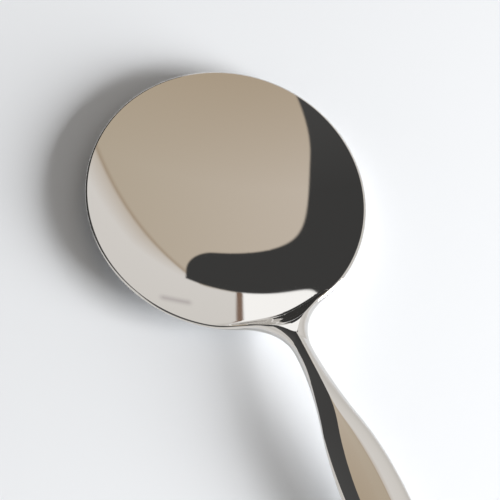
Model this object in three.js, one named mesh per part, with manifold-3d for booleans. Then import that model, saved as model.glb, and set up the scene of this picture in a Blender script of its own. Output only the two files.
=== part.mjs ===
import * as THREE from 'three';
import { mergeGeometries, mergeVertices } from 'three/addons/utils/BufferGeometryUtils.js';
import Module from 'manifold-3d';

// A shallow oval serving spoon of polished stainless steel, lying face up on a table at z = 0.
// Lengths are in millimetres. The spoon runs along X, with the tip of the bowl at +X and the
// end of the handle at -X. It is alike on both sides of the plane y = 0.
// The steel is divided into bowl, neck and handle at two plane seams across its length.

// Driving dimensions of the bowl
const OVERALL_LENGTH = 255;
const BOWL_LENGTH = 86;
const BOWL_WIDTH = 80;
const RIM_HEIGHT = 8; // top of the rim above the table, half way along the bowl
const RIM_RISE = 1.5; // how much higher the rim is at the neck than at the tip
const RIM_THICKNESS = 1.5;
const RIM_ROUNDING = 0.65; // depth of the bevelled edge of the rim
const RIM_FULLNESS = 0.62; // exponent of the bevel's thinning, lower is blunter
const RIM_CROWN = 1; // exponent across the bevel, 1 meets the dish at a crease, 2 is rounded
const FLOOR_THICKNESS = 1.8;
const FLOOR_SPREAD = 4; // exponent of the thinning to the rim, higher stays thick for longer
const REST_FLAT = 0.2; // depth of the small flats that touch the table

// Driving dimensions of the heel, where the bowl thickens into the neck
const HEEL_REACH = 3.1; // from the rim to the foot of the heel wall, on the centre line
const HEEL_WALL = 6; // level length of the heel wall on the centre line
const HEEL_EASING = 0.2; // share of the wall that is rounded at its foot, and again at its top
const HEEL_UNDERSIDE = 12; // how much further into the bowl the thickening reaches underneath
const ARM_WALL = 1.7; // level length of the heel wall along the two shoulder arms
const ARM_SPREAD = 8.5; // half width over which the heel wall widens
const ARM_REACH = 22; // distance from the centre line at which the shoulder arms fade into the rim
const CREASE_HALF_WIDTH = 45; // half width of the oval that the foot of the heel wall follows

// Driving dimensions of the neck
const SHOULDER_RADIUS = 15;
const SHOULDER_ROUNDING = 4.6; // depth of the sloping side where the shoulders meet the neck
const SHOULDER_ONSET = 0.2; // share of the way along the shoulders at which that side begins to form
const SHOULDER_END = 0.95; // share at which it is fully formed
const NECK_WIDTH = 5.4;
const NECK_THICKNESS = 5.6;
const NECK_SLOPE = 0.34; // rise of the centre line as it leaves the rim

// Driving dimensions of the handle, with distances taken from the rim or from the neck
const ARCH_DISTANCE = 35; // from the rim to the top of the arch
const ARCH_HEIGHT = 12.6; // centre of the steel at the top of the arch
const FALL_DISTANCE = 52; // from the top of the arch to the middle of the fall behind it
const FALL_HEIGHT = 7.6; // centre of the steel there
const FALL_SLOPE = -0.11;
const FLARE_DISTANCE = 24.5; // from the neck to the steepest part of the flare
const FLARE_WIDTH = 11.8;
const FLARE_SLOPE = 0.245; // widening of each side there
const SHANK_DISTANCE = 48; // from the neck to the end of the flare
const SHANK_WIDTH = 17.8;
const SHANK_SLOPE = 0.036; // widening of each side there
const SHANK_THICKNESS = 5.2;
const GRIP_DISTANCE = 136; // from the neck to the widest part of the handle
const GRIP_WIDTH = 20.4;
const END_THICKNESS = 3.2;
const END_RADIUS = 10; // from the end to the point where the centre line comes level
const END_FULLNESS = 2.4; // exponent of the rounded end, higher is squarer
const SECTION_FULLNESS = 0.75; // exponent of the section, 0.5 is an ellipse, 1 is a pointed lens
const TOP_CROWN = 1.45; // exponent across the top at the neck, 2 is round, 1 is a sharp ridge
const RIDGE_DISTANCE = 12; // from the neck to the place where the top is most ridged
const RIDGE_CROWN = 1.12; // the exponent there
const DOME_DISTANCE = 29; // from the neck to the place from which the top is domed
const DOME_CROWN = 1.5; // the exponent from there on
const UNDERSIDE_CROWN = 2; // the exponent for the underside
const EDGE_SHARE = 0.15; // share of the thickness that stays up to the rounded edge
const EDGE_CROWN = 8; // exponent of that edge, higher is squarer

// The two seams, and the clearance that is left open at each
const BOWL_SEAM = 3.5; // from the rim to the seam between bowl and neck
const HANDLE_SEAM = 10; // from the narrowest part of the neck to the seam between neck and handle
const SEAM_CLEARANCE = 0.3;

// Fineness of the faceted surface, as steps along each stretch of the outline and round a section
const RIM_STEPS = 28;
const SHOULDER_STEPS = 18;
const FLARE_STEPS = 22;
const END_STEPS = 12;
const SECTION_STEPS = 24;
const TANGENT_HALVINGS = 50; // halvings in the search for the start of the shoulder arc
const WELD_DISTANCE = 1e-4;

const POLISHED_STEEL = { color: '#c9c6c1', roughness: 0.08, metalness: 1 };

// Sizes that follow from the driving dimensions.
// "Along" is the distance from the middle of the bowl towards the handle.
const bowlHalfLength = BOWL_LENGTH / 2;
const bowlHalfWidth = BOWL_WIDTH / 2;
const neckHalfWidth = NECK_WIDTH / 2;
const gripHalfWidth = GRIP_WIDTH / 2;
const handleEnd = OVERALL_LENGTH - bowlHalfLength;
const bowlCentreX = OVERALL_LENGTH / 2 - bowlHalfLength;
const rimMiddle = RIM_HEIGHT - RIM_THICKNESS / 2;
const floorMiddle = FLOOR_THICKNESS / 2 - REST_FLAT;
const rimSlope = RIM_RISE / BOWL_LENGTH;

function smoothStep(low, high, value) {
  return THREE.MathUtils.smoothstep(value, low, high);
}

// A straight rise from 0 to 1 with a little rounding at its foot and top
function easedRamp(low, high, value) {
  const share = THREE.MathUtils.clamp((value - low) / (high - low), 0, 1);
  const bend = 2 * HEEL_EASING * (1 - HEEL_EASING);
  if (share < HEEL_EASING) return (share * share) / bend;
  if (share > 1 - HEEL_EASING) return 1 - (1 - share) ** 2 / bend;
  return (share - HEEL_EASING / 2) / (1 - HEEL_EASING);
}

// The point where the shoulder arc leaves the rim oval: the arc's centre lies a shoulder radius
// outside the oval there, and a shoulder radius outside the side of the neck.
function shoulderArc() {
  const wantedAcross = neckHalfWidth + SHOULDER_RADIUS;
  const centreFor = (angle) => {
    const onRim = new THREE.Vector2(bowlHalfLength * Math.cos(angle), bowlHalfWidth * Math.sin(angle));
    const outward = new THREE.Vector2(Math.cos(angle) / bowlHalfLength, Math.sin(angle) / bowlHalfWidth);
    return onRim.addScaledVector(outward.normalize(), SHOULDER_RADIUS);
  };
  let low = 0;
  let high = Math.PI / 2;
  for (let halving = 0; halving < TANGENT_HALVINGS; halving += 1) {
    const middle = (low + high) / 2;
    if (centreFor(middle).y < wantedAcross) low = middle;
    else high = middle;
  }
  return { rimAngle: low, centre: centreFor(low) };
}

const shoulder = shoulderArc();
const neckAlong = shoulder.centre.x;
const gripAlong = neckAlong + GRIP_DISTANCE;
const endCentre = handleEnd - END_RADIUS;

// Smooth cubic line through knots that give a place, a value and a slope
function smoothLine(knots, place) {
  const last = knots.length - 2;
  let index = 0;
  while (index < last && place > knots[index + 1].at) index += 1;
  const from = knots[index];
  const to = knots[index + 1];
  const span = to.at - from.at;
  const t = THREE.MathUtils.clamp((place - from.at) / span, 0, 1);
  const ease = t * t * (3 - 2 * t);
  const leave = t * (1 - t) * (1 - t) * span * from.slope;
  const arrive = t * t * (t - 1) * span * to.slope;
  return from.value + (to.value - from.value) * ease + leave + arrive;
}

const centreLine = [
  { at: bowlHalfLength, value: rimMiddle + rimSlope * bowlHalfLength, slope: NECK_SLOPE },
  { at: bowlHalfLength + ARCH_DISTANCE, value: ARCH_HEIGHT, slope: 0 },
  { at: bowlHalfLength + ARCH_DISTANCE + FALL_DISTANCE, value: FALL_HEIGHT, slope: FALL_SLOPE },
  { at: endCentre, value: END_THICKNESS / 2 - REST_FLAT, slope: 0 },
];

const handleHalfWidth = [
  { at: neckAlong, value: neckHalfWidth, slope: 0 },
  { at: neckAlong + FLARE_DISTANCE, value: FLARE_WIDTH / 2, slope: FLARE_SLOPE },
  { at: neckAlong + SHANK_DISTANCE, value: SHANK_WIDTH / 2, slope: SHANK_SLOPE },
  { at: gripAlong, value: gripHalfWidth, slope: 0 },
];

const handleCrown = [
  { at: neckAlong, value: TOP_CROWN, slope: 0 },
  { at: neckAlong + RIDGE_DISTANCE, value: RIDGE_CROWN, slope: 0 },
  { at: neckAlong + DOME_DISTANCE, value: DOME_CROWN, slope: 0 },
];

const handleThickness = [
  { at: neckAlong, value: NECK_THICKNESS, slope: 0 },
  { at: neckAlong + SHANK_DISTANCE, value: SHANK_THICKNESS, slope: 0 },
  { at: endCentre, value: END_THICKNESS, slope: 0 },
];

// Half of the outline seen from above, from the tip of the bowl to the end of the handle.
// Each station also has a foot on the centre line, from which its half section is drawn.
function outlineStations() {
  const stations = [];
  for (let step = 0; step <= RIM_STEPS; step += 1) {
    const angle = THREE.MathUtils.lerp(Math.PI, shoulder.rimAngle, step / RIM_STEPS);
    const along = bowlHalfLength * Math.cos(angle);
    stations.push({ along, across: bowlHalfWidth * Math.sin(angle), foot: 0 });
  }
  const leaving = stations[RIM_STEPS];
  const startAngle = Math.atan2(leaving.across - shoulder.centre.y, leaving.along - shoulder.centre.x);
  const endAngle = startAngle > 0 ? Math.PI * 1.5 : -Math.PI / 2;
  for (let step = 1; step <= SHOULDER_STEPS; step += 1) {
    const share = step / SHOULDER_STEPS;
    const angle = THREE.MathUtils.lerp(startAngle, endAngle, share);
    const along = shoulder.centre.x + SHOULDER_RADIUS * Math.cos(angle);
    const across = shoulder.centre.y + SHOULDER_RADIUS * Math.sin(angle);
    stations.push({ along, across, foot: neckAlong * share });
  }
  for (let step = 1; step <= FLARE_STEPS; step += 1) {
    const along = THREE.MathUtils.lerp(neckAlong, gripAlong, step / FLARE_STEPS);
    stations.push({ along, across: smoothLine(handleHalfWidth, along), foot: along });
  }
  for (let step = 1; step <= END_STEPS; step += 1) {
    const angle = (Math.PI / 2) * (step / END_STEPS);
    const share = Math.sin(angle) ** (2 / END_FULLNESS);
    const along = THREE.MathUtils.lerp(gripAlong, handleEnd, share);
    const across = step === END_STEPS ? 0 : gripHalfWidth * Math.cos(angle);
    stations.push({ along, across, foot: THREE.MathUtils.lerp(gripAlong, endCentre, share) });
  }
  stations[0].across = 0;
  return stations;
}

// How far a point lies up the heel wall: 0 in the dish, 1 on the shoulders and the neck.
// The wall is short on the top face, and has a longer run on the underside.
function heelShare(along, across, run) {
  const side = Math.min(Math.abs(across) / CREASE_HALF_WIDTH, 1);
  const wallFoot = (bowlHalfLength - HEEL_REACH) * Math.sqrt(1 - side * side);
  const widening = Math.exp(-((across / ARM_SPREAD) ** 2));
  const wallLength = THREE.MathUtils.lerp(ARM_WALL, HEEL_WALL, widening);
  return easedRamp(wallFoot - run, wallFoot + wallLength, along);
}

// Height of the middle of the steel: a dish in the bowl, and the arched centre line in the handle
function middleHeight(along, across) {
  const radius = Math.hypot(along / bowlHalfLength, across / bowlHalfWidth);
  const inside = Math.min(radius, 1);
  const beyond = Math.max(radius - 1, 0) * bowlHalfLength * NECK_SLOPE;
  const dish = floorMiddle + (rimMiddle - floorMiddle) * inside * inside + rimSlope * along + beyond;
  const leaving = smoothStep(bowlHalfLength - HEEL_REACH, neckAlong, along);
  return THREE.MathUtils.lerp(dish, smoothLine(centreLine, along), leaving);
}

// Thickness of the steel to one side of its middle, away from its rounded edge
function halfThickness(along, across, heelRun) {
  if (along > neckAlong) return smoothLine(handleThickness, along) / 2;
  const radius = Math.min(Math.hypot(along / bowlHalfLength, across / bowlHalfWidth), 1);
  const dish = THREE.MathUtils.lerp(FLOOR_THICKNESS, RIM_THICKNESS, radius ** FLOOR_SPREAD);
  const fading = smoothStep(neckHalfWidth, ARM_REACH, Math.abs(across));
  const arm = THREE.MathUtils.lerp(NECK_THICKNESS, RIM_THICKNESS, fading);
  return THREE.MathUtils.lerp(dish, arm, heelShare(along, across, heelRun)) / 2;
}

// Share of the half thickness that is left at a distance in from the outline: a small bevelled edge
// on the rim, deeper where the shoulder arms are thicker, and a lens with a beaded edge on the neck
// and the handle
function edgeShare(station, inset, reach, face) {
  const necking = Math.min(station.foot / neckAlong, 1);
  const shaping = smoothStep(SHOULDER_ONSET, SHOULDER_END, necking);
  const edgeThickness = 2 * halfThickness(station.along, station.across, 0);
  const bevel = RIM_ROUNDING * Math.sqrt(edgeThickness / RIM_THICKNESS);
  const sloping = THREE.MathUtils.lerp(bevel, SHOULDER_ROUNDING, shaping);
  const rounding = necking < 1 ? Math.min(sloping, reach) : reach;
  const fullness = THREE.MathUtils.lerp(RIM_FULLNESS, SECTION_FULLNESS, shaping);
  const handleTop = smoothLine(handleCrown, station.foot);
  const crown = THREE.MathUtils.lerp(RIM_CROWN, face > 0 ? handleTop : UNDERSIDE_CROWN, shaping);
  const short = 1 - Math.min(inset / rounding, 1);
  const lens = (1 - short ** crown) ** fullness;
  const bead = Math.sqrt(1 - short ** EDGE_CROWN);
  return THREE.MathUtils.lerp(lens, bead, EDGE_SHARE * shaping);
}

// One half section: from the centre line on the top face, round the edge, to the underside
function halfSection(station) {
  const points = [];
  const reach = Math.hypot(station.along - station.foot, station.across);
  for (let step = 0; step <= SECTION_STEPS; step += 1) {
    const angle = (Math.PI * step) / SECTION_STEPS;
    const outward = step === SECTION_STEPS ? 0 : Math.sin(angle);
    const along = THREE.MathUtils.lerp(station.foot, station.along, outward);
    const across = station.across * outward;
    const face = Math.sign(SECTION_STEPS / 2 - step);
    const heelRun = face > 0 ? 0 : HEEL_UNDERSIDE;
    const share = edgeShare(station, (1 - outward) * reach, reach, face);
    const height = middleHeight(along, across) + face * halfThickness(along, across, heelRun) * share;
    points.push(bowlCentreX - along, across, height);
  }
  return points;
}

// The skin of one side of the spoon, as a net of half sections
function halfSkin(side) {
  const stations = outlineStations();
  const positions = stations.flatMap(halfSection);
  const ring = SECTION_STEPS + 1;
  const indices = [];
  for (let row = 0; row + 1 < stations.length; row += 1) {
    for (let step = 0; step < SECTION_STEPS; step += 1) {
      const here = row * ring + step;
      const next = here + ring;
      if (side > 0) indices.push(here, here + 1, next, here + 1, next + 1, next);
      else indices.push(here, next, here + 1, here + 1, next, next + 1);
    }
  }
  const geometry = new THREE.BufferGeometry();
  geometry.setAttribute('position', new THREE.Float32BufferAttribute(positions, 3));
  geometry.setIndex(indices);
  return geometry.scale(1, side, 1);
}

// Welds a geometry and leaves out the triangles that collapse where stations share a foot
function weld(geometry) {
  const bare = geometry.clone();
  bare.deleteAttribute('normal');
  bare.deleteAttribute('uv');
  const welded = mergeVertices(bare, WELD_DISTANCE);
  const corners = Array.from(welded.getIndex().array);
  const kept = [];
  for (let first = 0; first < corners.length; first += 3) {
    const [a, b, c] = corners.slice(first, first + 3);
    if (a !== b && b !== c && c !== a) kept.push(a, b, c);
  }
  welded.setIndex(kept);
  return welded;
}

const wasm = await Module();
wasm.setup();

function solidFrom(geometry) {
  const welded = weld(geometry);
  return new wasm.Manifold(new wasm.Mesh({
    numProp: 3,
    vertProperties: Float32Array.from(welded.getAttribute('position').array),
    triVerts: Uint32Array.from(welded.getIndex().array),
  }));
}

function geometryFrom(solid) {
  const mesh = solid.getMesh();
  const geometry = new THREE.BufferGeometry();
  geometry.setAttribute('position', new THREE.BufferAttribute(Float32Array.from(mesh.vertProperties), 3));
  geometry.setIndex(new THREE.BufferAttribute(Uint32Array.from(mesh.triVerts), 1));
  geometry.computeVertexNormals();
  return geometry;
}

// A block above the table between two places along the spoon, as wide and tall as it is long.
// Cutting the spoon to it also grinds the small flats that the spoon rests on.
function blockBetween(fromAlong, toAlong) {
  const block = new THREE.BoxGeometry(toAlong - fromAlong, OVERALL_LENGTH, OVERALL_LENGTH);
  block.translate(bowlCentreX - (fromAlong + toAlong) / 2, 0, OVERALL_LENGTH / 2);
  return solidFrom(block);
}

const wholeSpoon = solidFrom(mergeGeometries([halfSkin(1), halfSkin(-1)]));
const bowlSeamAlong = bowlHalfLength + BOWL_SEAM;
const handleSeamAlong = neckAlong + HANDLE_SEAM;
const halfClearance = SEAM_CLEARANCE / 2;

function spoonPiece(name, fromAlong, toAlong) {
  const solid = wholeSpoon.intersect(blockBetween(fromAlong, toAlong));
  const mesh = new THREE.Mesh(geometryFrom(solid), new THREE.MeshStandardMaterial(POLISHED_STEEL));
  mesh.name = name;
  return mesh;
}

const spoon = new THREE.Group();
spoon.add(
  spoonPiece('bowl', -BOWL_LENGTH, bowlSeamAlong - halfClearance),
  spoonPiece('neck', bowlSeamAlong + halfClearance, handleSeamAlong - halfClearance),
  spoonPiece('handle', handleSeamAlong + halfClearance, OVERALL_LENGTH),
);

export default spoon;
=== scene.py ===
import math

import bpy
from mathutils import Matrix, Vector


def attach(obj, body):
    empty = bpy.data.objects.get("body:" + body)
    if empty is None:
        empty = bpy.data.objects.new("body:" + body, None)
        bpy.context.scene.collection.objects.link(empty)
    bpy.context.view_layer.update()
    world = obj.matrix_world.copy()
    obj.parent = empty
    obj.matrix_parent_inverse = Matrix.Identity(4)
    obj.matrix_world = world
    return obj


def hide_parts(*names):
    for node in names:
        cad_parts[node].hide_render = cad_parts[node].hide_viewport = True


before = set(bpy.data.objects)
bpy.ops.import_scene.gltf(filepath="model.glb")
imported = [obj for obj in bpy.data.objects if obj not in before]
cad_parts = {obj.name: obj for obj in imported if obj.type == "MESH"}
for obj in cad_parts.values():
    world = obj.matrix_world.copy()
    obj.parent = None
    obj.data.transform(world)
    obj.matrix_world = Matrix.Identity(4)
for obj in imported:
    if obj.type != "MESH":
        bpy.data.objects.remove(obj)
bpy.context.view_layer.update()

MM = 0.001

# Sizes of the spoon in millimetres, the same as those of its solids
OVERALL_LENGTH = 255.0
BOWL_LENGTH = 86.0
BOWL_WIDTH = 80.0
RIM_HEIGHT = 8.0
RIM_RISE = 1.5
RIM_THICKNESS = 1.5
RIM_ROUNDING = 0.65
RIM_FULLNESS = 0.62
RIM_CROWN = 1.0
FLOOR_THICKNESS = 1.8
FLOOR_SPREAD = 4.0
REST_FLAT = 0.2
HEEL_REACH = 3.1
HEEL_WALL = 6.0
HEEL_EASING = 0.2
HEEL_UNDERSIDE = 12.0
ARM_WALL = 1.7
ARM_SPREAD = 8.5
ARM_REACH = 22.0
SHOULDER_ROUNDING = 4.6
SHOULDER_ONSET = 0.2
SHOULDER_END = 0.95
CREASE_HALF_WIDTH = 45.0
SHOULDER_RADIUS = 15.0
NECK_WIDTH = 5.4
NECK_THICKNESS = 5.6
NECK_SLOPE = 0.34
ARCH_DISTANCE = 35.0
ARCH_HEIGHT = 12.6
FALL_DISTANCE = 52.0
FALL_HEIGHT = 7.6
FALL_SLOPE = -0.11
FLARE_DISTANCE = 24.5
FLARE_WIDTH = 11.8
FLARE_SLOPE = 0.245
SHANK_DISTANCE = 48.0
SHANK_WIDTH = 17.8
SHANK_SLOPE = 0.036
SHANK_THICKNESS = 5.2
GRIP_DISTANCE = 136.0
GRIP_WIDTH = 20.4
END_THICKNESS = 3.2
END_RADIUS = 10.0
END_FULLNESS = 2.4
SECTION_FULLNESS = 0.75
TOP_CROWN = 1.45
RIDGE_DISTANCE = 12.0
RIDGE_CROWN = 1.12
DOME_DISTANCE = 29.0
DOME_CROWN = 1.5
UNDERSIDE_CROWN = 2.0
EDGE_SHARE = 0.15
EDGE_CROWN = 8.0
BOWL_SEAM = 3.5
HANDLE_SEAM = 10.0

# Fineness of the polished skin, fine enough that no facet shows in a reflection
RIM_STEPS = 110
SHOULDER_STEPS = 90
FLARE_STEPS = 110
END_STEPS = 30
SECTION_STEPS = 144
FACE_SHARE = 0.75  # of the steps of a half section, up to where the edge begins
TANGENT_HALVINGS = 50
MERGE_DISTANCE = 0.002 * MM
CUT_THRESHOLD = 0.001 * MM
SMOOTH_ANGLE = math.radians(22.0)  # keeps the flats and the seams crisp

# Sizes that follow. "Along" runs from the middle of the bowl towards the handle.
BOWL_HALF_LENGTH = BOWL_LENGTH / 2
BOWL_HALF_WIDTH = BOWL_WIDTH / 2
NECK_HALF_WIDTH = NECK_WIDTH / 2
GRIP_HALF_WIDTH = GRIP_WIDTH / 2
HANDLE_END = OVERALL_LENGTH - BOWL_HALF_LENGTH
BOWL_CENTRE_X = OVERALL_LENGTH / 2 - BOWL_HALF_LENGTH
RIM_MIDDLE = RIM_HEIGHT - RIM_THICKNESS / 2
FLOOR_MIDDLE = FLOOR_THICKNESS / 2 - REST_FLAT
RIM_SLOPE = RIM_RISE / BOWL_LENGTH


def blend(start, end, share):
    return start + (end - start) * share


def smooth_step(low, high, value):
    share = min(max((value - low) / (high - low), 0.0), 1.0)
    return share * share * (3.0 - 2.0 * share)


def eased_ramp(low, high, value):
    """A straight rise from 0 to 1 with a little rounding at its foot and top."""
    share = min(max((value - low) / (high - low), 0.0), 1.0)
    bend = 2.0 * HEEL_EASING * (1.0 - HEEL_EASING)
    if share < HEEL_EASING:
        return share * share / bend
    if share > 1.0 - HEEL_EASING:
        return 1.0 - (1.0 - share) ** 2 / bend
    return (share - HEEL_EASING / 2) / (1.0 - HEEL_EASING)


def shoulder_arc():
    """Where the shoulder arc leaves the rim oval, as the rim angle there and the arc's centre."""
    def centre_for(angle):
        on_rim = Vector((BOWL_HALF_LENGTH * math.cos(angle), BOWL_HALF_WIDTH * math.sin(angle)))
        outward = Vector((math.cos(angle) / BOWL_HALF_LENGTH, math.sin(angle) / BOWL_HALF_WIDTH))
        return on_rim + outward.normalized() * SHOULDER_RADIUS
    low, high = 0.0, math.pi / 2
    for _ in range(TANGENT_HALVINGS):
        middle = (low + high) / 2
        if centre_for(middle).y < NECK_HALF_WIDTH + SHOULDER_RADIUS:
            low = middle
        else:
            high = middle
    return low, centre_for(low)


SHOULDER_ANGLE, SHOULDER_CENTRE = shoulder_arc()
NECK_ALONG = SHOULDER_CENTRE.x
GRIP_ALONG = NECK_ALONG + GRIP_DISTANCE
END_CENTRE = HANDLE_END - END_RADIUS

# Knots of the smooth lines along the spoon: place, value and slope
CENTRE_LINE = (
    (BOWL_HALF_LENGTH, RIM_MIDDLE + RIM_SLOPE * BOWL_HALF_LENGTH, NECK_SLOPE),
    (BOWL_HALF_LENGTH + ARCH_DISTANCE, ARCH_HEIGHT, 0.0),
    (BOWL_HALF_LENGTH + ARCH_DISTANCE + FALL_DISTANCE, FALL_HEIGHT, FALL_SLOPE),
    (END_CENTRE, END_THICKNESS / 2 - REST_FLAT, 0.0),
)
HANDLE_HALF_WIDTH = (
    (NECK_ALONG, NECK_HALF_WIDTH, 0.0),
    (NECK_ALONG + FLARE_DISTANCE, FLARE_WIDTH / 2, FLARE_SLOPE),
    (NECK_ALONG + SHANK_DISTANCE, SHANK_WIDTH / 2, SHANK_SLOPE),
    (GRIP_ALONG, GRIP_HALF_WIDTH, 0.0),
)
HANDLE_CROWN = (
    (NECK_ALONG, TOP_CROWN, 0.0),
    (NECK_ALONG + RIDGE_DISTANCE, RIDGE_CROWN, 0.0),
    (NECK_ALONG + DOME_DISTANCE, DOME_CROWN, 0.0),
)
HANDLE_THICKNESS = (
    (NECK_ALONG, NECK_THICKNESS, 0.0),
    (NECK_ALONG + SHANK_DISTANCE, SHANK_THICKNESS, 0.0),
    (END_CENTRE, END_THICKNESS, 0.0),
)


def smooth_line(knots, place):
    index = 0
    while index < len(knots) - 2 and place > knots[index + 1][0]:
        index += 1
    start, start_value, start_slope = knots[index]
    end, end_value, end_slope = knots[index + 1]
    span = end - start
    t = min(max((place - start) / span, 0.0), 1.0)
    value = blend(start_value, end_value, t * t * (3.0 - 2.0 * t))
    return value + span * t * (1.0 - t) * ((1.0 - t) * start_slope - t * end_slope)


def outline_stations():
    """Half of the outline from tip to handle end, as along, across and a foot on the centre line."""
    stations = []
    for step in range(RIM_STEPS + 1):
        angle = blend(math.pi, SHOULDER_ANGLE, step / RIM_STEPS)
        across = BOWL_HALF_WIDTH * math.sin(angle) if step else 0.0
        stations.append((BOWL_HALF_LENGTH * math.cos(angle), across, 0.0))
    leaving_along, leaving_across, _ = stations[-1]
    start = math.atan2(leaving_across - SHOULDER_CENTRE.y, leaving_along - SHOULDER_CENTRE.x)
    end = 1.5 * math.pi if start > 0 else -0.5 * math.pi
    for step in range(1, SHOULDER_STEPS + 1):
        share = step / SHOULDER_STEPS
        angle = blend(start, end, share)
        along = SHOULDER_CENTRE.x + SHOULDER_RADIUS * math.cos(angle)
        across = SHOULDER_CENTRE.y + SHOULDER_RADIUS * math.sin(angle)
        stations.append((along, across, NECK_ALONG * share))
    for step in range(1, FLARE_STEPS + 1):
        along = blend(NECK_ALONG, GRIP_ALONG, step / FLARE_STEPS)
        stations.append((along, smooth_line(HANDLE_HALF_WIDTH, along), along))
    for step in range(1, END_STEPS + 1):
        angle = 0.5 * math.pi * step / END_STEPS
        share = math.sin(angle) ** (2.0 / END_FULLNESS)
        across = GRIP_HALF_WIDTH * math.cos(angle) if step < END_STEPS else 0.0
        along = blend(GRIP_ALONG, HANDLE_END, share)
        stations.append((along, across, blend(GRIP_ALONG, END_CENTRE, share)))
    return stations


def heel_share(along, across, run):
    """0 in the dish, 1 on the shoulders and the neck; the wall between is short on the top face."""
    side = min(abs(across) / CREASE_HALF_WIDTH, 1.0)
    wall_foot = (BOWL_HALF_LENGTH - HEEL_REACH) * math.sqrt(1.0 - side * side)
    wall_length = blend(ARM_WALL, HEEL_WALL, math.exp(-((across / ARM_SPREAD) ** 2)))
    return eased_ramp(wall_foot - run, wall_foot + wall_length, along)


def middle_height(along, across):
    radius = math.hypot(along / BOWL_HALF_LENGTH, across / BOWL_HALF_WIDTH)
    inside = min(radius, 1.0)
    beyond = max(radius - 1.0, 0.0) * BOWL_HALF_LENGTH * NECK_SLOPE
    dish = FLOOR_MIDDLE + (RIM_MIDDLE - FLOOR_MIDDLE) * inside * inside + RIM_SLOPE * along + beyond
    leaving = smooth_step(BOWL_HALF_LENGTH - HEEL_REACH, NECK_ALONG, along)
    return blend(dish, smooth_line(CENTRE_LINE, along), leaving)


def half_thickness(along, across, heel_run):
    if along > NECK_ALONG:
        return smooth_line(HANDLE_THICKNESS, along) / 2
    radius = min(math.hypot(along / BOWL_HALF_LENGTH, across / BOWL_HALF_WIDTH), 1.0)
    dish = blend(FLOOR_THICKNESS, RIM_THICKNESS, radius ** FLOOR_SPREAD)
    arm = blend(NECK_THICKNESS, RIM_THICKNESS, smooth_step(NECK_HALF_WIDTH, ARM_REACH, abs(across)))
    return blend(dish, arm, heel_share(along, across, heel_run)) / 2


def shoulder_shaping(foot):
    """0 on the rim, 1 where the shoulders have become the neck."""
    return smooth_step(SHOULDER_ONSET, SHOULDER_END, min(foot / NECK_ALONG, 1.0))


def edge_depth(station, reach):
    """How far in from the outline the steel thins: a bevel on the rim, the whole section on the handle."""
    along, across, foot = station
    if foot >= NECK_ALONG:
        return reach
    bevel = RIM_ROUNDING * math.sqrt(2 * half_thickness(along, across, 0.0) / RIM_THICKNESS)
    return min(blend(bevel, SHOULDER_ROUNDING, shoulder_shaping(foot)), reach)


def edge_share(foot, inset, depth, face):
    """Share of the half thickness that is left at a distance in from the outline."""
    shaping = shoulder_shaping(foot)
    fullness = blend(RIM_FULLNESS, SECTION_FULLNESS, shaping)
    crown = blend(RIM_CROWN, smooth_line(HANDLE_CROWN, foot) if face > 0 else UNDERSIDE_CROWN, shaping)
    short = 1.0 - min(inset / depth, 1.0) if depth else 0.0
    lens = max(1.0 - short ** crown, 0.0) ** fullness
    bead = math.sqrt(max(1.0 - short ** EDGE_CROWN, 0.0))
    return blend(lens, bead, EDGE_SHARE * shaping)


def outward_share(step, edge_start):
    """Share of the way from the centre line to the outline, with one step exactly where the edge begins."""
    place = 2.0 * min(step, SECTION_STEPS - step) / SECTION_STEPS
    turn = min(FACE_SHARE, edge_start)
    if place < turn:
        return edge_start * math.sin(0.5 * math.pi * place / turn)
    return blend(edge_start, 1.0, math.sin(0.5 * math.pi * (place - turn) / (1.0 - turn)))


def skin_point(station, step):
    """A point of the half section at a station, from the top centre line round the edge and back below."""
    station_along, station_across, foot = station
    reach = math.hypot(station_along - foot, station_across)
    depth = edge_depth(station, reach)
    outward = outward_share(step, 1.0 - depth / reach if reach else 0.0)
    along = blend(foot, station_along, outward)
    across = station_across * outward
    face = (step * 2 < SECTION_STEPS) - (step * 2 > SECTION_STEPS)
    heel_run = 0.0 if face > 0 else HEEL_UNDERSIDE
    share = edge_share(foot, (1.0 - outward) * reach, depth, face)
    height = middle_height(along, across) + face * half_thickness(along, across, heel_run) * share
    return Vector((BOWL_CENTRE_X - along, across, height)) * MM


def linear(hex_colour):
    """An sRGB hex colour as linear red, green, blue and alpha."""
    parts = [int(hex_colour[i:i + 2], 16) / 255 for i in (1, 3, 5)]
    return tuple(c / 12.92 if c <= 0.04045 else ((c + 0.055) / 1.055) ** 2.4 for c in parts) + (1.0,)


def add_node(tree, kind, inputs=(), **settings):
    """Adds a node, sets it up, and links or fills its inputs, given as pairs of socket and value."""
    node = tree.nodes.new(kind)
    for name, value in settings.items():
        setattr(node, name, value)
    for socket, value in inputs:
        if isinstance(value, bpy.types.NodeSocket):
            tree.links.new(value, node.inputs[socket])
        else:
            node.inputs[socket].default_value = value
    return node


def select_only(piece):
    bpy.ops.object.select_all(action="DESELECT")
    piece.select_set(True)
    bpy.context.view_layer.objects.active = piece


# The finish of the steel, with sizes in millimetres: buffing marks along the spoon and haze from handling
MARK_LENGTH = 12.5
MARK_WIDTH = 0.357
MARK_DEPTH = 0.02
HAZE_PATCH = 14.3
CLEAR_ROUGHNESS = 0.015
HAZED_ROUGHNESS = 0.035


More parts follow.
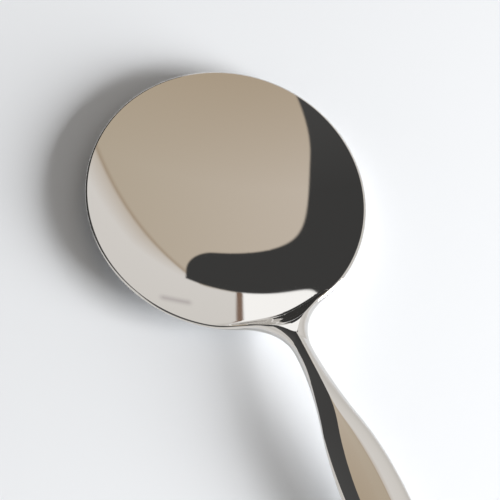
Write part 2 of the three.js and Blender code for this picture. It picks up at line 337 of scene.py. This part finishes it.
def mirror_polished_steel():
    """Mirror-polished 18/10 stainless steel: a warm grey mirror, faint haze and hair-fine buffing marks."""
    material = bpy.data.materials.new("mirror_polished_stainless_steel")
    material.use_nodes = True
    tree = material.node_tree
    tree.nodes.clear()
    place = add_node(tree, "ShaderNodeTexCoord").outputs["Object"]
    marks_per_metre = [1.0 / (size * MM) for size in (MARK_LENGTH, MARK_WIDTH, MARK_WIDTH)]
    along_marks = add_node(tree, "ShaderNodeMapping", [("Vector", place), ("Scale", marks_per_metre)])
    marks = add_node(
        tree, "ShaderNodeTexNoise",
        [("Vector", along_marks.outputs["Vector"]), ("Scale", 1.0), ("Detail", 3.0), ("Roughness", 0.6)],
    )
    haze = add_node(
        tree, "ShaderNodeTexNoise",
        [("Vector", place), ("Scale", 1.0 / (HAZE_PATCH * MM)), ("Detail", 5.0), ("Roughness", 0.55)],
    )
    dulling = add_node(
        tree, "ShaderNodeMapRange",
        [("Value", haze.outputs["Fac"]), ("From Min", 0.35), ("From Max", 0.75),
         ("To Min", CLEAR_ROUGHNESS), ("To Max", HAZED_ROUGHNESS)],
        interpolation_type="SMOOTHSTEP",
    )
    relief = add_node(
        tree, "ShaderNodeBump",
        [("Height", marks.outputs["Fac"]), ("Strength", 0.02), ("Distance", MARK_DEPTH * MM)],
    )
    steel = add_node(
        tree, "ShaderNodeBsdfPrincipled",
        [("Base Color", linear("#d9d7d4")), ("Metallic", 1.0), ("Roughness", dulling.outputs["Result"]),
         ("Normal", relief.outputs["Normal"])],
    )
    add_node(tree, "ShaderNodeOutputMaterial", [("Surface", steel.outputs["BSDF"])])
    return material


def spoon_skin():
    """The whole polished skin: a grid bent into half of the spoon, mirrored and closed."""
    stations = outline_stations()
    bpy.ops.object.select_all(action="DESELECT")
    bpy.ops.mesh.primitive_grid_add(
        x_subdivisions=SECTION_STEPS, y_subdivisions=len(stations) - 1, size=1.0, location=(0.0, 0.0, 0.0))
    skin = bpy.context.object
    for vertex in skin.data.vertices:
        step = round((vertex.co.x + 0.5) * SECTION_STEPS)
        station = round((vertex.co.y + 0.5) * (len(stations) - 1))
        vertex.co = skin_point(stations[station], step)
    mirror = skin.modifiers.new("other_side", "MIRROR")
    mirror.use_axis = (False, True, False)
    mirror.use_clip = True
    mirror.merge_threshold = MERGE_DISTANCE
    bpy.ops.object.modifier_apply(modifier=mirror.name)
    bpy.ops.object.mode_set(mode="EDIT")
    bpy.ops.mesh.select_all(action="SELECT")
    bpy.ops.mesh.remove_doubles(threshold=MERGE_DISTANCE)
    bpy.ops.mesh.dissolve_degenerate(threshold=MERGE_DISTANCE)
    bpy.ops.mesh.normals_make_consistent(inside=False)
    bpy.ops.mesh.select_all(action="SELECT")
    bpy.ops.mesh.bisect(
        plane_co=(0.0, 0.0, 0.0), plane_no=(0.0, 0.0, 1.0), use_fill=True, clear_inner=True,
        threshold=CUT_THRESHOLD)
    bpy.ops.object.mode_set(mode="OBJECT")
    return skin


def cut_piece(skin, name, front_x, rear_x):
    """A closed piece of the skin between two planes across it; None leaves that end as it is."""
    select_only(skin)
    bpy.ops.object.duplicate()
    piece = bpy.context.object
    piece.name = piece.data.name = name
    bpy.ops.object.mode_set(mode="EDIT")
    for plane_x, outward in ((front_x, 1.0), (rear_x, -1.0)):
        if plane_x is not None:
            bpy.ops.mesh.select_all(action="SELECT")
            bpy.ops.mesh.bisect(
                plane_co=(plane_x * MM, 0.0, 0.0), plane_no=(outward, 0.0, 0.0), use_fill=True,
                clear_outer=True, threshold=CUT_THRESHOLD)
    bpy.ops.object.mode_set(mode="OBJECT")
    bpy.ops.object.shade_smooth_by_angle(angle=SMOOTH_ANGLE)
    return piece


def dress_spoon():
    steel = mirror_polished_steel()
    skin = spoon_skin()
    bowl_seam = BOWL_CENTRE_X - (BOWL_HALF_LENGTH + BOWL_SEAM)
    handle_seam = BOWL_CENTRE_X - (NECK_ALONG + HANDLE_SEAM)
    for node, front_x, rear_x in (
        ("bowl", None, bowl_seam), ("neck", bowl_seam, handle_seam), ("handle", handle_seam, None),
    ):
        piece = cut_piece(skin, "polished_" + node, front_x, rear_x)
        piece.data.materials.clear()
        piece.data.materials.append(steel)
        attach(piece, "root")
        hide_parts(node)
    bpy.data.objects.remove(skin)


# The camera of the picture, which stands to the left behind the handle and looks down at the bowl
CAMERA_PLACE = Vector((-216.0, 159.45, 631.2)) * MM
CAMERA_AIM = Vector((69.5, -1.55, 0.0)) * MM
CAMERA_ROLL = math.radians(6.6)
CAMERA_FIELD = math.radians(11.577)
CAMERA_NEAR = 0.01
CAMERA_FAR = 50.0

# Level directions to the right of the camera and away from it
PICTURE_RIGHT = Vector((-0.4687, -0.8834, 0.0))
PICTURE_AWAY = Vector((0.8834, -0.4687, 0.0))

TABLE_SIZE = 16.0


def set_camera():
    data = bpy.data.cameras.new("picture_camera")
    data.sensor_width = data.sensor_height = 36.0
    data.angle = CAMERA_FIELD
    data.clip_start = CAMERA_NEAR
    data.clip_end = CAMERA_FAR
    camera = bpy.data.objects.new("picture_camera", data)
    bpy.context.scene.collection.objects.link(camera)
    aim = (CAMERA_AIM - CAMERA_PLACE).to_track_quat("-Z", "Y").to_matrix()
    turned = aim @ Matrix.Rotation(CAMERA_ROLL, 3, "Z")
    camera.matrix_world = Matrix.Translation(CAMERA_PLACE) @ turned.to_4x4()
    bpy.context.scene.camera = camera


def lay_table():
    """A plain table top in matt white laminate, which gives the eye no gloss and no pattern."""
    bpy.ops.object.select_all(action="DESELECT")
    bpy.ops.mesh.primitive_plane_add(size=TABLE_SIZE, location=(0.0, 0.0, 0.0))
    table = bpy.context.object
    table.name = table.data.name = "table_top"
    material = bpy.data.materials.new("matt_white_laminate")
    material.use_nodes = True
    tree = material.node_tree
    tree.nodes.clear()
    laminate = add_node(
        tree, "ShaderNodeBsdfPrincipled",
        [("Base Color", linear("#e8ebef")), ("Roughness", 0.9), ("Specular IOR Level", 0.0)],
    )
    add_node(tree, "ShaderNodeOutputMaterial", [("Surface", laminate.outputs["BSDF"])])
    table.data.materials.append(material)


# The room that the steel mirrors is drawn on a flat map of directions. Places on the map run to the right
# of the camera and away from it: straight up is at 0, 0, and the horizon lies 100 from there.
HORIZON = 100.0
LEAST_LIFT = 0.3  # keeps the map finite below the horizon
CEILING_MIDDLE = (-28.3, 2.1, 0.0)
CEILING_RADIUS = 55.0
CEILING_SOFTNESS = 0.5
LEFTWARD = (26.0, -18.0)  # between these places to the right, the ceiling grows lighter
NEARER = (22.0, -4.0)  # between these places away, the ceiling grows browner and the screen lighter
BORDER_HALF_WIDTH = 0.2
BORDER_SOFTNESS = 0.6
LOWER_EDGE = -23.4  # where the ceiling and the dark screen end on the near side
LOWER_EDGE_SLANT = 0.317
WALL_REACH = 60.0
WALL_LEAD = 4.2  # by which the walls' shades are ahead beyond the arm of the screen
WALL_SHADES = ((0.0, "#d8cdc0"), (0.07, "#f3f0ed"), (0.3, "#eeebe7"), (0.7, "#dedbd7"), (1.0, "#f0eeec"))
SCREEN_FLARE = 8.6  # by which the screen's edge swings to the right towards the camera
SCREEN_FLARE_RANGE = (15.0, -4.0)
SCREEN_SOFTNESS = 0.3
ARM_TILT = 0.12
ARM_BEND = 22.0  # width of the bend in which the screen runs into its arm
ARM_CORNER = 6.0
ARM_EDGE_MIDDLE = (-3.5, 17.2, 0.0)  # the round edge on which the arm ends
ARM_EDGE_RADIUS = 30.9
ROOM_FILL = 0.58  # share of the room's light that falls on the table

# Flat things in the room, each with its middle, half its size and the radius of its corners
SCREEN = ((-100.0, 40.0), (82.3, 90.0), 5.0)
SCREEN_ARM = ((-14.3, 46.6), (20.5, 8.0), 5.0)
CAMERA_STAND = ((-10.0, -20.0), (22.0, 15.5), 8.0)
WHITE_PANEL = ((-14.0, 57.0), (10.0, 13.0), 1.0)
BROWN_POST = ((-3.6, 56.0), (0.6, 8.0), 0.5)
GREY_LAMP = ((7.7, 52.7), (2.4, 0.3), 0.3)
PANEL_GLOW = (1.3, 1.3, 1.3, 1.0)


def room_places(tree):
    """Where a direction lies on the room's map, to the right and away."""
    direction = add_node(tree, "ShaderNodeTexCoord").outputs["Generated"]
    rise = add_node(tree, "ShaderNodeSeparateXYZ", [(0, direction)]).outputs["Z"]
    lift = add_node(tree, "ShaderNodeMath", [(0, rise), (1, 1.0)], operation="ADD").outputs[0]
    kept = add_node(tree, "ShaderNodeMath", [(0, lift), (1, LEAST_LIFT)], operation="MAXIMUM").outputs[0]
    scale = add_node(tree, "ShaderNodeMath", [(0, HORIZON), (1, kept)], operation="DIVIDE").outputs[0]
    places = []
    for axis in (PICTURE_RIGHT, PICTURE_AWAY):
        part = add_node(tree, "ShaderNodeVectorMath", [(0, direction), (1, axis)], operation="DOT_PRODUCT")
        place = add_node(
            tree, "ShaderNodeMath", [(0, part.outputs["Value"]), (1, scale)], operation="MULTIPLY")
        places.append(place.outputs[0])
    return places


def panel_distance(tree, right, away, middle, half_size, corner):
    """Distance outside a rounded rectangle of the room, below 0 inside it."""
    sides, outer = [], []
    for place, centre, half in zip((right, away), middle, half_size):
        offset = add_node(
            tree, "ShaderNodeMath", [(0, place), (1, centre)], operation="SUBTRACT").outputs[0]
        size = add_node(tree, "ShaderNodeMath", [(0, offset)], operation="ABSOLUTE").outputs[0]
        side = add_node(
            tree, "ShaderNodeMath", [(0, size), (1, half - corner)], operation="SUBTRACT").outputs[0]
        past = add_node(tree, "ShaderNodeMath", [(0, side), (1, 0.0)], operation="MAXIMUM").outputs[0]
        sides.append(side)
        outer.append(past)
    joined = add_node(tree, "ShaderNodeCombineXYZ", [("X", outer[0]), ("Y", outer[1])]).outputs[0]
    length = add_node(tree, "ShaderNodeVectorMath", [(0, joined)], operation="LENGTH").outputs["Value"]
    deepest = add_node(
        tree, "ShaderNodeMath", [(0, sides[0]), (1, sides[1])], operation="MAXIMUM").outputs[0]
    within = add_node(tree, "ShaderNodeMath", [(0, deepest), (1, 0.0)], operation="MINIMUM").outputs[0]
    distance = add_node(tree, "ShaderNodeMath", [(0, length), (1, within)], operation="ADD").outputs[0]
    return add_node(tree, "ShaderNodeMath", [(0, distance), (1, corner)], operation="SUBTRACT").outputs[0]


def round_distance(tree, right, away, middle, radius):
    """Distance outside a circle of the room, below 0 inside it."""
    place = add_node(tree, "ShaderNodeCombineXYZ", [("X", right), ("Y", away)]).outputs[0]
    from_middle = add_node(tree, "ShaderNodeVectorMath", [(0, place), (1, middle)], operation="DISTANCE")
    past = add_node(
        tree, "ShaderNodeMath", [(0, from_middle.outputs["Value"]), (1, radius)], operation="SUBTRACT")
    return past.outputs[0]


def near_side_distance(tree, right, away):
    """Distance past the slanted edge on the near side, below 0 on its far side."""
    edge = add_node(
        tree, "ShaderNodeMath", [(0, right), (1, -LOWER_EDGE_SLANT), (2, LOWER_EDGE)],
        operation="MULTIPLY_ADD").outputs[0]
    return add_node(tree, "ShaderNodeMath", [(0, edge), (1, away)], operation="SUBTRACT").outputs[0]


def shade_across(tree, place, span, first, second):
    """A colour that turns into a second one between two places."""
    share = add_node(
        tree, "ShaderNodeMapRange", [("Value", place), ("From Min", span[0]), ("From Max", span[1])])
    shade = add_node(
        tree, "ShaderNodeMix", [(0, share.outputs["Result"]), (6, first), (7, second)], data_type="RGBA")
    return shade.outputs[2]


def lay_on(tree, room, colour, distance, softness):
    """Lays a colour over the room where a distance is below 0, with a soft edge."""
    mask = add_node(
        tree, "ShaderNodeMapRange",
        [("Value", distance), ("From Min", -softness), ("From Max", softness),
         ("To Min", 1.0), ("To Max", 0.0)],
        interpolation_type="SMOOTHSTEP",
    )
    laid = add_node(
        tree, "ShaderNodeMix", [(0, mask.outputs["Result"]), (6, room), (7, colour)], data_type="RGBA")
    return laid.outputs[2]


def wall_colour(tree, depth):
    """Pale shades of the walls, from the edge of the ceiling outwards."""
    outward = add_node(tree, "ShaderNodeMapRange", [("Value", depth), ("From Max", WALL_REACH)])
    walls = add_node(tree, "ShaderNodeValToRGB", [("Fac", outward.outputs["Result"])])
    stops = walls.color_ramp.elements
    for place, _ in WALL_SHADES[1:-1]:
        stops.new(place)
    for stop, (place, shade) in zip(stops, WALL_SHADES):
        stop.position = place
        stop.color = linear(shade)
    return walls.outputs["Color"]


def ceiling_and_walls(tree, right, away, past_near, past_arm):
    """A beige ceiling with a thin brown border on its round edge, and pale walls beyond."""
    past_round = round_distance(tree, right, away, CEILING_MIDDLE, CEILING_RADIUS)
    past_edge = add_node(
        tree, "ShaderNodeMath", [(0, past_round), (1, past_arm)], operation="MAXIMUM").outputs[0]
    past_ceiling = add_node(
        tree, "ShaderNodeMath", [(0, past_edge), (1, past_near)], operation="MAXIMUM").outputs[0]
    ahead = add_node(tree, "ShaderNodeMath", [(0, past_arm), (1, WALL_LEAD)], operation="ADD").outputs[0]
    depth = add_node(
        tree, "ShaderNodeMath", [(0, past_ceiling), (1, ahead)], operation="MAXIMUM").outputs[0]
    beige = shade_across(tree, right, LEFTWARD, linear("#ccbfab"), linear("#dfd3c5"))
    ceiling = shade_across(tree, away, NEARER, beige, linear("#c2b199"))
    room = lay_on(tree, wall_colour(tree, depth), ceiling, past_ceiling, CEILING_SOFTNESS)
    from_round = add_node(tree, "ShaderNodeMath", [(0, past_round)], operation="ABSOLUTE").outputs[0]
    thin = add_node(
        tree, "ShaderNodeMath", [(0, from_round), (1, BORDER_HALF_WIDTH)], operation="SUBTRACT").outputs[0]
    border = add_node(tree, "ShaderNodeMath", [(0, thin), (1, past_arm)], operation="MAXIMUM").outputs[0]
    return lay_on(tree, room, linear("#b3a088"), border, BORDER_SOFTNESS)


def screen_distance(tree, right, away, past_near, past_arm):
    """Distance outside the dark screen on the left and its arm, which bends across the far side."""
    near = add_node(
        tree, "ShaderNodeMapRange",
        [("Value", away), ("From Min", SCREEN_FLARE_RANGE[0]), ("From Max", SCREEN_FLARE_RANGE[1])])
    curve = add_node(
        tree, "ShaderNodeMath", [(0, near.outputs["Result"]), (1, 2.0)], operation="POWER").outputs[0]
    flared = add_node(
        tree, "ShaderNodeMath", [(0, curve), (1, -SCREEN_FLARE), (2, right)],
        operation="MULTIPLY_ADD").outputs[0]
    wide = panel_distance(tree, flared, away, *SCREEN)
    screen = add_node(tree, "ShaderNodeMath", [(0, wide), (1, past_near)], operation="MAXIMUM").outputs[0]
    tilted = add_node(
        tree, "ShaderNodeMath", [(0, right), (1, -ARM_TILT), (2, away)],
        operation="MULTIPLY_ADD").outputs[0]
    arm = panel_distance(tree, right, tilted, *SCREEN_ARM)
    bent = add_node(
        tree, "ShaderNodeMath", [(0, screen), (1, arm), (2, ARM_BEND)], operation="SMOOTH_MIN").outputs[0]
    trimmed = add_node(tree, "ShaderNodeMath", [(0, bent), (1, past_arm)], operation="MAXIMUM").outputs[0]
    cornered = add_node(
        tree, "ShaderNodeMath", [(0, screen), (1, trimmed), (2, ARM_CORNER)], operation="SMOOTH_MIN")
    return cornered.outputs[0]


def room_strength(tree):
    """The camera and the steel see the room in full; its light on the table is held back for the shadow."""
    path = add_node(tree, "ShaderNodeLightPath")
    seen = add_node(
        tree, "ShaderNodeMath", [(0, path.outputs["Is Camera Ray"]), (1, path.outputs["Is Glossy Ray"])],
        operation="ADD").outputs[0]
    strength = add_node(
        tree, "ShaderNodeMapRange", [("Value", seen), ("To Min", ROOM_FILL), ("To Max", 1.0)])
    return strength.outputs["Result"]


def light_room():
    """The room that the steel mirrors: a ceiling, pale walls, a white panel and the dark screen."""
    world = bpy.data.worlds.new("studio_room")
    bpy.context.scene.world = world
    world.use_nodes = True
    tree = world.node_tree
    tree.nodes.clear()
    right, away = room_places(tree)
    past_near = near_side_distance(tree, right, away)
    past_arm = round_distance(tree, right, away, ARM_EDGE_MIDDLE, ARM_EDGE_RADIUS)
    room = ceiling_and_walls(tree, right, away, past_near, past_arm)
    for thing, colour, softness in (
        (WHITE_PANEL, PANEL_GLOW, 0.6),
        (BROWN_POST, linear("#8d7566"), 0.3),
        (GREY_LAMP, linear("#c3bcbd"), 1.0),
    ):
        room = lay_on(tree, room, colour, panel_distance(tree, right, away, *thing), softness)
    screen = screen_distance(tree, right, away, past_near, past_arm)
    stand = panel_distance(tree, right, away, *CAMERA_STAND)
    dark = add_node(tree, "ShaderNodeMath", [(0, screen), (1, stand)], operation="MINIMUM").outputs[0]
    black_cloth = shade_across(tree, away, NEARER, linear("#444444"), linear("#535353"))
    room = lay_on(tree, room, black_cloth, dark, SCREEN_SOFTNESS)
    background = add_node(
        tree, "ShaderNodeBackground", [("Color", room), ("Strength", room_strength(tree))])
    add_node(tree, "ShaderNodeOutputWorld", [("Surface", background.outputs["Background"])])


# The window light, low to the right of the camera, with its distance and size in metres
LIGHT_DIRECTION = Vector((-0.75, -0.66, 0.0)).normalized()
LIGHT_HEIGHT = math.radians(16.5)
LIGHT_DISTANCE = 1.7
LIGHT_WIDTH = 1.0
LIGHT_TALL = 0.9
LIGHT_POWER = 84.0


def hang_window_light():
    data = bpy.data.lights.new("window_light", "AREA")
    data.shape = "RECTANGLE"
    data.size = LIGHT_WIDTH
    data.size_y = LIGHT_TALL
    data.energy = LIGHT_POWER
    lamp = bpy.data.objects.new("window_light", data)
    bpy.context.scene.collection.objects.link(lamp)
    middle = Vector((BOWL_CENTRE_X, 0.0, 0.0)) * MM
    aim = LIGHT_DIRECTION * math.cos(LIGHT_HEIGHT) + Vector((0.0, 0.0, math.sin(LIGHT_HEIGHT)))
    lamp.location = middle + aim * LIGHT_DISTANCE
    lamp.rotation_euler = (-aim).to_track_quat("-Z", "Y").to_euler()


bpy.context.scene.view_settings.view_transform = "Standard"
set_camera()
dress_spoon()
lay_table()
light_room()
hang_window_light()
